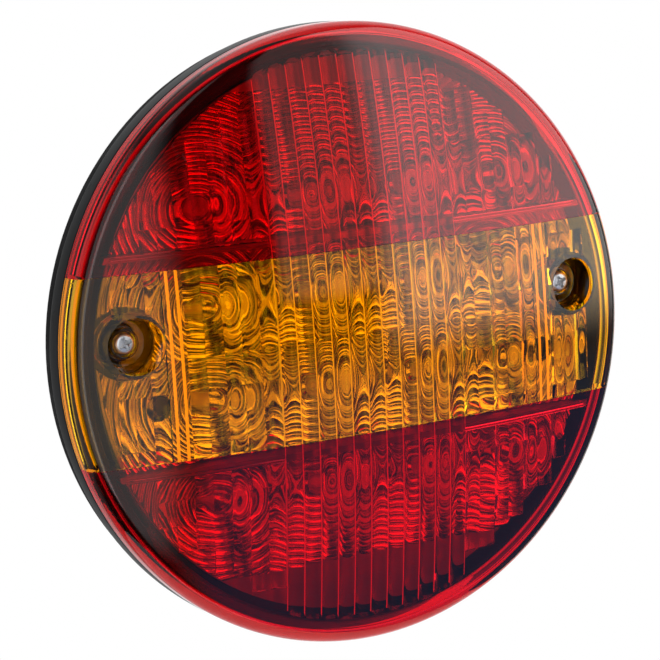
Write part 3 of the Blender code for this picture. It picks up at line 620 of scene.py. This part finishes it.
def reflector(name, node, rows, points, walls, legs, holes=()):
    """One reflector: plate, windows, ring cells and legs. A row is its level, and its reach down and up."""
    made = piece(name, plate(points), metallised)
    windows = bmesh.new()
    for x, z, radius in holes:
        drum(radius, 9.0, 12.0, x, z, 48, bm=windows)
    for row, down, up in rows:
        for x in COLUMNS:
            drum(WINDOW, 9.0, 12.0, x, row, 32, bm=windows)
    carved(made, [('DIFFERENCE', windows)])
    bm = bmesh.new()
    bm.from_mesh(made.data)
    for face in bm.faces:
        face.material_index = 1
    for row, down, up in rows:
        for x in COLUMNS:
            half = (COLUMNS[1] - COLUMNS[0]) / 2.0
            right_wall = x + (half if x < COLUMNS[3] else 30.0)
            left_wall = x - (half if x > COLUMNS[0] else 30.0)
            own = [((right_wall, 0.0), (1.0, 0.0)), ((left_wall, 0.0), (-1.0, 0.0)),
                   ((0.0, row + up), (0.0, 1.0)), ((0.0, row - down), (0.0, -1.0))] + walls
            cell = piece("ring_cell", ring_cell(x, row, own), metallised)
            for hole_x, hole_z, radius in holes:
                if hole_x * x > 0.0 and abs(x) > 30.0:
                    carved(cell, [('DIFFERENCE', drum(radius, 9.0, 14.0, hole_x, hole_z, 48))])
            mesh = cell.data
            bm.from_mesh(mesh)
            bpy.data.objects.remove(cell)
            bpy.data.meshes.remove(mesh)
    for x, z in legs:
        drum(1.3, 7.1, PLATE_UNDER + 0.3, x, z, 16, bm=bm)
    old = made.data
    bpy.data.objects.remove(made)
    bpy.data.meshes.remove(old)
    made = piece(name, bm, metallised, 30.0)
    made.data.materials.append(satin_plate)
    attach(made, "base")
    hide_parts(node)
    return made


def segment(level, radius=62.4):
    """Outline of the part of a disc above a level."""
    first = math.asin(level / radius)
    angles = [first + (math.pi - 2.0 * first) * i / 48.0 for i in range(49)]
    return [(radius * math.cos(a), radius * math.sin(a)) for a in angles]


upper_walls = [((0.0, 24.5), (0.0, -1.0))]
for angle in range(22, 160, 8):
    toward = (math.cos(math.radians(angle)), math.sin(math.radians(angle)))
    upper_walls.append(((62.2 * toward[0], 62.2 * toward[1]), toward))
lower_walls = [((px, -pz), (nx, -nz)) for (px, pz), (nx, nz) in upper_walls]
leg_x = (COLUMNS[0] + COLUMNS[1]) / 2.0
reflector("upper_reflector", "reflector_upper", [(ROWS["upper"], 10.0, 24.0)], segment(24.9), upper_walls,
          [(x, 26.5) for x in (leg_x, 0.0, -leg_x)])
reflector("lower_reflector", "reflector_lower", [(ROWS["lower"], 18.0, 10.0)],
          [(x, -z) for x, z in segment(24.9)], lower_walls, [(x, -26.5) for x in (leg_x, 0.0, -leg_x)])
WING_RADIUS = 62.0
WING_HALF_HEIGHT = 22.5
POCKET_GAP = 8.0
SCREW_GAP = 2.9
wing_angle = math.asin(WING_HALF_HEIGHT / WING_RADIUS)
wing = [(WING_RADIUS * math.cos(wing_angle * i / 12.0), WING_RADIUS * math.sin(wing_angle * i / 12.0))
        for i in range(-12, 13)]
wing_walls = []
for angle in (-18, -11, -4, 4, 11, 18, 162, 169, 176, 184, 191, 198):
    toward = (math.cos(math.radians(angle)), math.sin(math.radians(angle)))
    wing_walls.append(((61.6 * toward[0], 61.6 * toward[1]), toward))
pocket_gaps = [(x, z, POCKET_GAP) for x, z in SCREW_PLACES]
screw_gaps = [(x, z, SCREW_GAP) for x, z in BOARD_SCREW_PLACES if abs(z) < 20.0]
reflector("middle_reflector", "reflector_amber",
          [(ROWS["amber_top"], 10.35, 12.5), (ROWS["amber_bottom"], 12.5, 10.35)],
          wing + [(-x, -z) for x, z in wing],
          wing_walls,
          [(x, z) for x in (leg_x, 0.0, -leg_x) for z in (20.9, -20.9)], pocket_gaps + screw_gaps)

# ---- Light sources ----
# Sixteen surface-mounted LEDs: a white moulded package with rounded edges and a low dome of yellow
# phosphor on top. Each is soldered to the board behind its reflector window.
def repeat_tree():
    """Geometry nodes that stand a shape on every place point, scaled and turned, as one real mesh."""
    tree = bpy.data.node_groups.new("repeat_shape", 'GeometryNodeTree')
    for name, kind in (("Places", 'NodeSocketGeometry'), ("Shape", 'NodeSocketObject'),
                       ("Scale", 'NodeSocketFloat'), ("Turn", 'NodeSocketFloat'),
                       ("Finish", 'NodeSocketMaterial')):
        tree.interface.new_socket(name, in_out='INPUT', socket_type=kind)
    tree.interface.new_socket("Result", in_out='OUTPUT', socket_type='NodeSocketGeometry')
    given = tree.nodes.new('NodeGroupInput')
    shape = tree.nodes.new('GeometryNodeObjectInfo')
    angle = tree.nodes.new('ShaderNodeCombineXYZ')
    stand = tree.nodes.new('GeometryNodeInstanceOnPoints')
    real = tree.nodes.new('GeometryNodeRealizeInstances')
    finish = tree.nodes.new('GeometryNodeSetMaterial')
    result = tree.nodes.new('NodeGroupOutput')
    for start, end in ((given.outputs["Places"], stand.inputs["Points"]),
                       (given.outputs["Shape"], shape.inputs["Object"]),
                       (shape.outputs["Geometry"], stand.inputs["Instance"]),
                       (given.outputs["Turn"], angle.inputs["Y"]),
                       (angle.outputs["Vector"], stand.inputs["Rotation"]),
                       (given.outputs["Scale"], stand.inputs["Scale"]),
                       (stand.outputs["Instances"], real.inputs["Geometry"]),
                       (real.outputs["Geometry"], finish.inputs["Geometry"]),
                       (given.outputs["Finish"], finish.inputs["Material"]),
                       (finish.outputs["Geometry"], result.inputs["Result"])):
        tree.links.new(start, end)
    return tree


repeat_shape = repeat_tree()


def repeated(name, bm, places, material, sharp=32.0, scale=1.0, turn=0.0):
    """One mesh of a shape, made about the origin, stood on every place (x, height, z) by the nodes."""
    shape = piece(name + "_shape", bm, material, sharp)
    mesh = bpy.data.meshes.new(name)
    mesh.from_pydata([(x * MM, -h * MM, z * MM) for x, h, z in places], [], [])
    made = bpy.data.objects.new(name, mesh)
    bpy.context.scene.collection.objects.link(made)
    step = made.modifiers.new("repeat", 'NODES')
    step.node_group = repeat_shape
    inputs = {item.name: item.identifier for item in repeat_shape.interface.items_tree
              if item.in_out == 'INPUT'}
    for socket, value in (("Shape", shape), ("Scale", scale), ("Turn", turn), ("Finish", material)):
        step[inputs[socket]] = value
    bpy.context.view_layer.update()
    result = bpy.data.meshes.new_from_object(made.evaluated_get(bpy.context.evaluated_depsgraph_get()))
    made.modifiers.remove(step)
    made.data = result
    bpy.data.objects.remove(shape)
    return made


LED_BASE = -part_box("led_upper_1")[1].y / MM
LED_TOP = -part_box("led_upper_1")[0].y / MM
LED_PLACES = [(x, LED_BASE, z) for z in ROWS.values() for x in COLUMNS]
LED_NODES = [f"led_{row}_{column}" for row in ROWS for column in (1, 2, 3, 4)]

led_white, shader, place = new_material("led_package", Specular_IOR_Level=0.5)
speck = noise(place, 2500.0, 2.0)
feed(shader, "Base Color", mixed(place, speck, (0.88, 0.87, 0.82, 1.0), (0.78, 0.76, 0.70, 1.0)))
feed(shader, "Roughness", 0.32 + 0.2 * speck)
phosphor, shader, place = new_material("led_phosphor")
speck = noise(place, 6000.0, 3.0)
feed(shader, "Base Color", mixed(place, speck, (1.0, 0.86, 0.42, 1.0), (0.95, 0.76, 0.28, 1.0)))
feed(shader, "Roughness", 0.15 + 0.25 * speck)

led = block(3.5, 2.8, 0.0, LED_TOP - LED_BASE)
bmesh.ops.bevel(led, geom=led.edges[:], offset=0.12 * MM, segments=2, affect='EDGES')
package = repeated("led_packages", led, LED_PLACES, led_white)
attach(package, "base")
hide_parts(*LED_NODES)
cap = turned(rounded([(0.0, 0.55, 0.0), (0.75, 0.42, 0.3), (1.15, 0.0, 0.0), (1.15, -0.2, 0.0),
                      (0.0, -0.2, 0.0)]), 24)
caps = repeated("led_caps", cap, [(x, LED_TOP, z) for x, h, z in LED_PLACES], phosphor)
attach(caps, "base")

# ---- Circuit board ----
# Round glass-epoxy board under a white solder mask, with copper runs showing faintly through it.
# It lies on the posts of the base.
solder_mask, shader, place = new_material("solder_mask", Specular_IOR_Level=0.5)
laid_flat = place.node('ShaderNodeMapping', None, {"Vector": place, "Rotation": (1.5708, 0.0, 0.0)})
runs = place.node('ShaderNodeTexBrick', {"offset": 0.5},
                  {"Vector": laid_flat, "Scale": 55.0, "Mortar Size": 0.012, "Mortar Smooth": 0.1}, out=1)
weave = noise(place, 1800.0, 2.0)
feed(shader, "Base Color", mixed(place, runs, (0.66, 0.67, 0.63, 1.0), (0.74, 0.75, 0.70, 1.0)))
feed(shader, "Roughness", 0.28 + 0.15 * weave)
feed(shader, "Normal", bumped(place, runs * 0.8 + weave * 0.1, 0.4, 0.00004))
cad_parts["circuit_board"].data.materials.clear()
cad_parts["circuit_board"].data.materials.append(solder_mask)

# ---- Board screws ----
# Four small zinc-plated pan-head screws that hold the board down on its posts.
screw_top = -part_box("board_screw_1")[0].y / MM
head = turned(rounded([
    (0.0, 0.0, 0.0), (0.45, -0.02, 0.1), (0.8, -0.55, 0.1), (1.15, -0.03, 0.1), (1.75, -0.22, 0.4),
    (2.3, -0.9, 0.25), (2.3, -1.4, 0.1), (1.2, -1.4, 0.1), (1.2, -5.3, 0.1), (0.0, -5.6, 0.0),
]), 40)
heads = [(x, screw_top, z) for x, z in BOARD_SCREW_PLACES]
board_screws = repeated("board_screws_zinc", head, heads, zinc)
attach(board_screws, "base")
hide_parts("board_screw_1", "board_screw_2", "board_screw_3", "board_screw_4")

# ---- Brass inserts ----
# Brass bushes with a threaded bore, moulded into the base: two open ones at the back for the panel bolts,
# and two under the pockets for the lens screws.
brass, shader, place = new_material("brass", Metallic=1.0)
tarnish = noise(place, 500.0, 4.0)
feed(shader, "Base Color", mixed(place, tarnish.rise(0.4, 0.75),
                                 (0.80, 0.60, 0.26, 1.0), (0.55, 0.38, 0.15, 1.0)))
feed(shader, "Roughness", 0.2 + 0.25 * tarnish)
feed(shader, "Normal", bumped(place, noise(place, 3500.0, 2.0), 0.2, 0.00003))


def bush(outer, bore, low, high, thread):
    """Bush with a rounded thread in its bore."""
    profile = [(outer, high - 0.15), (outer, low + 0.15), (outer - 0.15, low), (bore + 0.35, low)]
    level = low + 0.3
    while level < high - 0.5:
        profile += [(bore + 0.02, level), (bore + 0.28, level + thread * 0.5)]
        level += thread
    return profile + [(bore + 0.35, high), (outer - 0.15, high)]


bushes = bmesh.new()
for x, z in FIXING_PLACES:
    turned(bush(4.0, 2.5, 0.0, 3.9, 0.8), 48, x, z, bushes)
back_bushes = piece("panel_bolt_bushes", bushes, brass, 20.0)
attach(back_bushes, "base")
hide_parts("fixing_insert_left", "fixing_insert_right")
bushes = bmesh.new()
for x, z in SCREW_PLACES:
    turned(bush(2.5, 1.6, 4.43, 7.83, 0.6), 40, x, z, bushes)
lens_bushes = piece("lens_screw_bushes", bushes, brass, 20.0)
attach(lens_bushes, "base")
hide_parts("lens_insert_left", "lens_insert_right")

# ---- Seals and grommet ----
# Dark rubber: a cord seal in the groove under the lens, a washer under each pocket, and a flanged
# grommet in the hole that the cable comes through.
seal_rubber, shader, place = new_material("seal_rubber", Specular_IOR_Level=0.35)
bloom = noise(place, 400.0, 3.0)
feed(shader, "Base Color", mixed(place, bloom.rise(0.4, 0.8),
                                 (0.02, 0.02, 0.021, 1.0), (0.05, 0.05, 0.052, 1.0)))
feed(shader, "Roughness", 0.5 + 0.25 * bloom)
cord = rounded([(68.0, 9.5, 0.3), (69.0, 9.5, 0.3), (69.0, 8.6, 0.3), (68.0, 8.6, 0.3)])
seal = piece("lens_cord_seal", turned(cord, 160), seal_rubber)
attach(seal, "base")
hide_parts("lens_seal")
washers = bmesh.new()
washer_outline = rounded([(1.75, 9.53, 0.2), (3.5, 9.53, 0.4), (3.5, 8.43, 0.4), (1.75, 8.43, 0.2)])
for x, z in SCREW_PLACES:
    turned(washer_outline, 40, x, z, washers)
washer = piece("pocket_washers", washers, seal_rubber)
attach(washer, "base")
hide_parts("pocket_seal_left", "pocket_seal_right")
grommet = piece("cable_ring", turned(rounded([
    (3.4, 4.2, 0.3), (5.6, 4.2, 0.4), (6.9, 3.5, 0.2), (6.9, 2.8, 0.1), (5.0, 2.8, 0.1),
    (5.0, 0.3, 0.3), (3.4, 0.3, 0.3),
]), 64, 0.0, -27.5), black_rubber)
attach(grommet, "base")
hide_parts("cable_grommet")

# ---- Small parts of the board ----
# Wire connector, two thin-film resistors, a protection diode and a regulator, with tinned ends or legs.
chip_black, shader, place = new_material("chip_plastic", Specular_IOR_Level=0.4)
grit = noise(place, 7000.0, 2.0)
feed(shader, "Base Color", mixed(place, grit, (0.016, 0.016, 0.018, 1.0), (0.032, 0.032, 0.034, 1.0)))
feed(shader, "Roughness", 0.45 + 0.2 * grit)
feed(shader, "Normal", bumped(place, grit, 0.3, 0.00003))
connector_plastic, shader, place = new_material("connector_plastic", Specular_IOR_Level=0.45)
speck = noise(place, 300.0, 3.0)
feed(shader, "Base Color", mixed(place, speck, (0.80, 0.78, 0.70, 1.0), (0.70, 0.67, 0.58, 1.0)))
feed(shader, "Roughness", 0.35 + 0.2 * speck)
board_parts = (("resistor_1", chip_black, 0), ("resistor_2", chip_black, 0),
               ("protection_diode", chip_black, 0), ("current_regulator", chip_black, 3),
               ("wire_connector", connector_plastic, 2))
for node, body, legs in board_parts:
    low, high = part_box(node)
    middle = (low + high) / 2.0 / MM
    size = (high - low) / MM
    base_height = -high.y / MM
    length = size.x * 0.82 if legs != 2 else size.x
    bm = block(length, size.z, base_height + 0.05, base_height + size.y, middle.x, middle.z)
    bmesh.ops.bevel(bm, geom=bm.edges[:], offset=0.18 * MM, segments=2, affect='EDGES')
    chip = piece(node + "_body", bm, body)
    if legs == 2:
        cuts = bmesh.new()
        for side in (-1.0, 1.0):
            block(3.2, 2.6, base_height + 1.0, base_height + 5.0,
                  middle.x + side * 2.5, middle.z, 0.0, cuts)
        carved(chip, [('DIFFERENCE', cuts)])
    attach(chip, "base")
    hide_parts(node)
    "connector_plastic" if legs == 2 else "chip_plastic"
    ends = bmesh.new()
    for side in (-1.0, 1.0):
        for step in range(max(1, legs)):
            across = (step - (max(1, legs) - 1) / 2.0) * 2.0
            width = size.z * 0.86 if legs == 0 else 0.7
            block(size.x * 0.1, width, base_height, base_height + min(size.y, 0.75),
                  middle.x + side * size.x * 0.45, middle.z + across, 0.0, ends)
    if legs != 2:
        tinned = piece(node + "_ends", ends, zinc)
        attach(tinned, "base")

# ---- Light dividers ----
# Two thin satin-metallised walls that stand on the board at the colour joints and stop the light of one
# colour from reaching the next.
for node in ("divider_upper", "divider_lower"):
    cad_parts[node].data.materials.clear()
    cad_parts[node].data.materials.append(satin_plate)

# ---- Room, light and camera ----
# Plain pale floor well below the lamp and a white surround. Soft panels light it from the front right, the
# front left, the left and overhead, a weak cool one from below right, and the camera has a long lens.
FLOOR_RADIUS = 0.3
FLOOR_LEVEL = -0.35
DEGREES = 57.2958
CAMERA_LENS = 129.6
CAMERA_ANGLES = (-27.65, 8.97, -3.70)
CAMERA_DISTANCE = 0.5457
world = bpy.data.worlds.new("studio")
bpy.context.scene.world = world
world.use_nodes = True
tree = world.node_tree
background = tree.nodes["Background"]
way = Wire(tree, tree.nodes.new('ShaderNodeTexCoord').outputs["Generated"])
parts = tree.nodes.new('ShaderNodeSeparateXYZ')
tree.links.new(way.socket, parts.inputs[0])
east, north, up = (Wire(tree, parts.outputs[i]) for i in range(3))
turn_angle = way.node('ShaderNodeMath', {"operation": 'ARCTAN2'}, {0: east, 1: 0.0 - north}) * DEGREES
lift_angle = way.node('ShaderNodeMath', {"operation": 'ARCSINE'}, {0: up}) * DEGREES


def panel(turn, lift, soft):
    """Soft-edged light panel between two turns and two lifts, in degrees."""
    return (turn_angle.rise(turn[0] - soft, turn[0]) * (1.0 - turn_angle.rise(turn[1], turn[1] + soft))
            * lift_angle.rise(lift[0] - soft, lift[0]) * (1.0 - lift_angle.rise(lift[1], lift[1] + soft)))


surround = north.rise(-0.05, 0.35) * (0.2 + 0.9 * east.rise(-0.4, 0.5))
haze = 0.42 * panel((14.0, 80.0), (-50.0, -16.0), 8.0)
light = (0.02 + haze + surround + 2.6 * panel((34.0, 80.0), (-6.0, 50.0), 6.0)
         + 0.6 * panel((20.0, 31.0), (-3.5, 45.0), 2.0) + 0.85 * panel((-36.0, 5.0), (-25.0, 35.0), 5.0)
         + 1.5 * panel((-16.0, -7.0), (-25.0, 35.0), 3.0)
         + 0.5 * panel((-110.0, -75.0), (-30.0, 50.0), 8.0) + 0.4 * lift_angle.rise(50.0, 70.0))
seen = way.node('ShaderNodeLightPath', None, None, out=0)
strength = seen + (1.0 - seen) * light
tree.links.new(strength.socket, background.inputs["Strength"])
cool = haze.rise(0.0, 0.4) * (1.0 - seen)
tint = mixed(way, cool, (1.0, 1.0, 1.0, 1.0), (0.35, 0.5, 1.0, 1.0))
tree.links.new(tint.socket, background.inputs["Color"])

floor_bm = bmesh.new()
bmesh.ops.create_circle(floor_bm, cap_ends=True, radius=FLOOR_RADIUS, segments=96)
floor_paint, shader, place = new_material("floor_paint", Roughness=0.9, Emission_Strength=0.2)
shader.inputs["Emission Color"].default_value = (1.0, 1.0, 1.0, 1.0)
feed(shader, "Base Color", mixed(place, noise(place, 3.0),
                                 (0.93, 0.93, 0.93, 1.0), (0.96, 0.96, 0.96, 1.0)))
floor = piece("floor", floor_bm, floor_paint)
floor.location.z = FLOOR_LEVEL

camera_data = bpy.data.cameras.new("camera")
camera_data.lens = CAMERA_LENS
camera_data.sensor_width = 36.0
camera_data.clip_start = 0.01
camera = bpy.data.objects.new("camera", camera_data)
bpy.context.scene.collection.objects.link(camera)
azimuth, elevation, roll = (math.radians(a) for a in CAMERA_ANGLES)
back = Vector((math.sin(azimuth) * math.cos(elevation), -math.cos(azimuth) * math.cos(elevation),
               math.sin(elevation)))
right = (-back).cross(Vector((0.0, 0.0, 1.0))).normalized()
upward = right.cross(-back)
side_axis = right * math.cos(roll) + upward * math.sin(roll)
top_axis = upward * math.cos(roll) - right * math.sin(roll)
target = Vector((0.00074, 0.0, -0.00044))
camera.matrix_world = Matrix((
    (side_axis.x, top_axis.x, back.x, target.x + back.x * CAMERA_DISTANCE),
    (side_axis.y, top_axis.y, back.y, target.y + back.y * CAMERA_DISTANCE),
    (side_axis.z, top_axis.z, back.z, target.z + back.z * CAMERA_DISTANCE),
    (0.0, 0.0, 0.0, 1.0),
))
bpy.context.scene.camera = camera
bpy.context.scene.view_settings.view_transform = 'Standard'
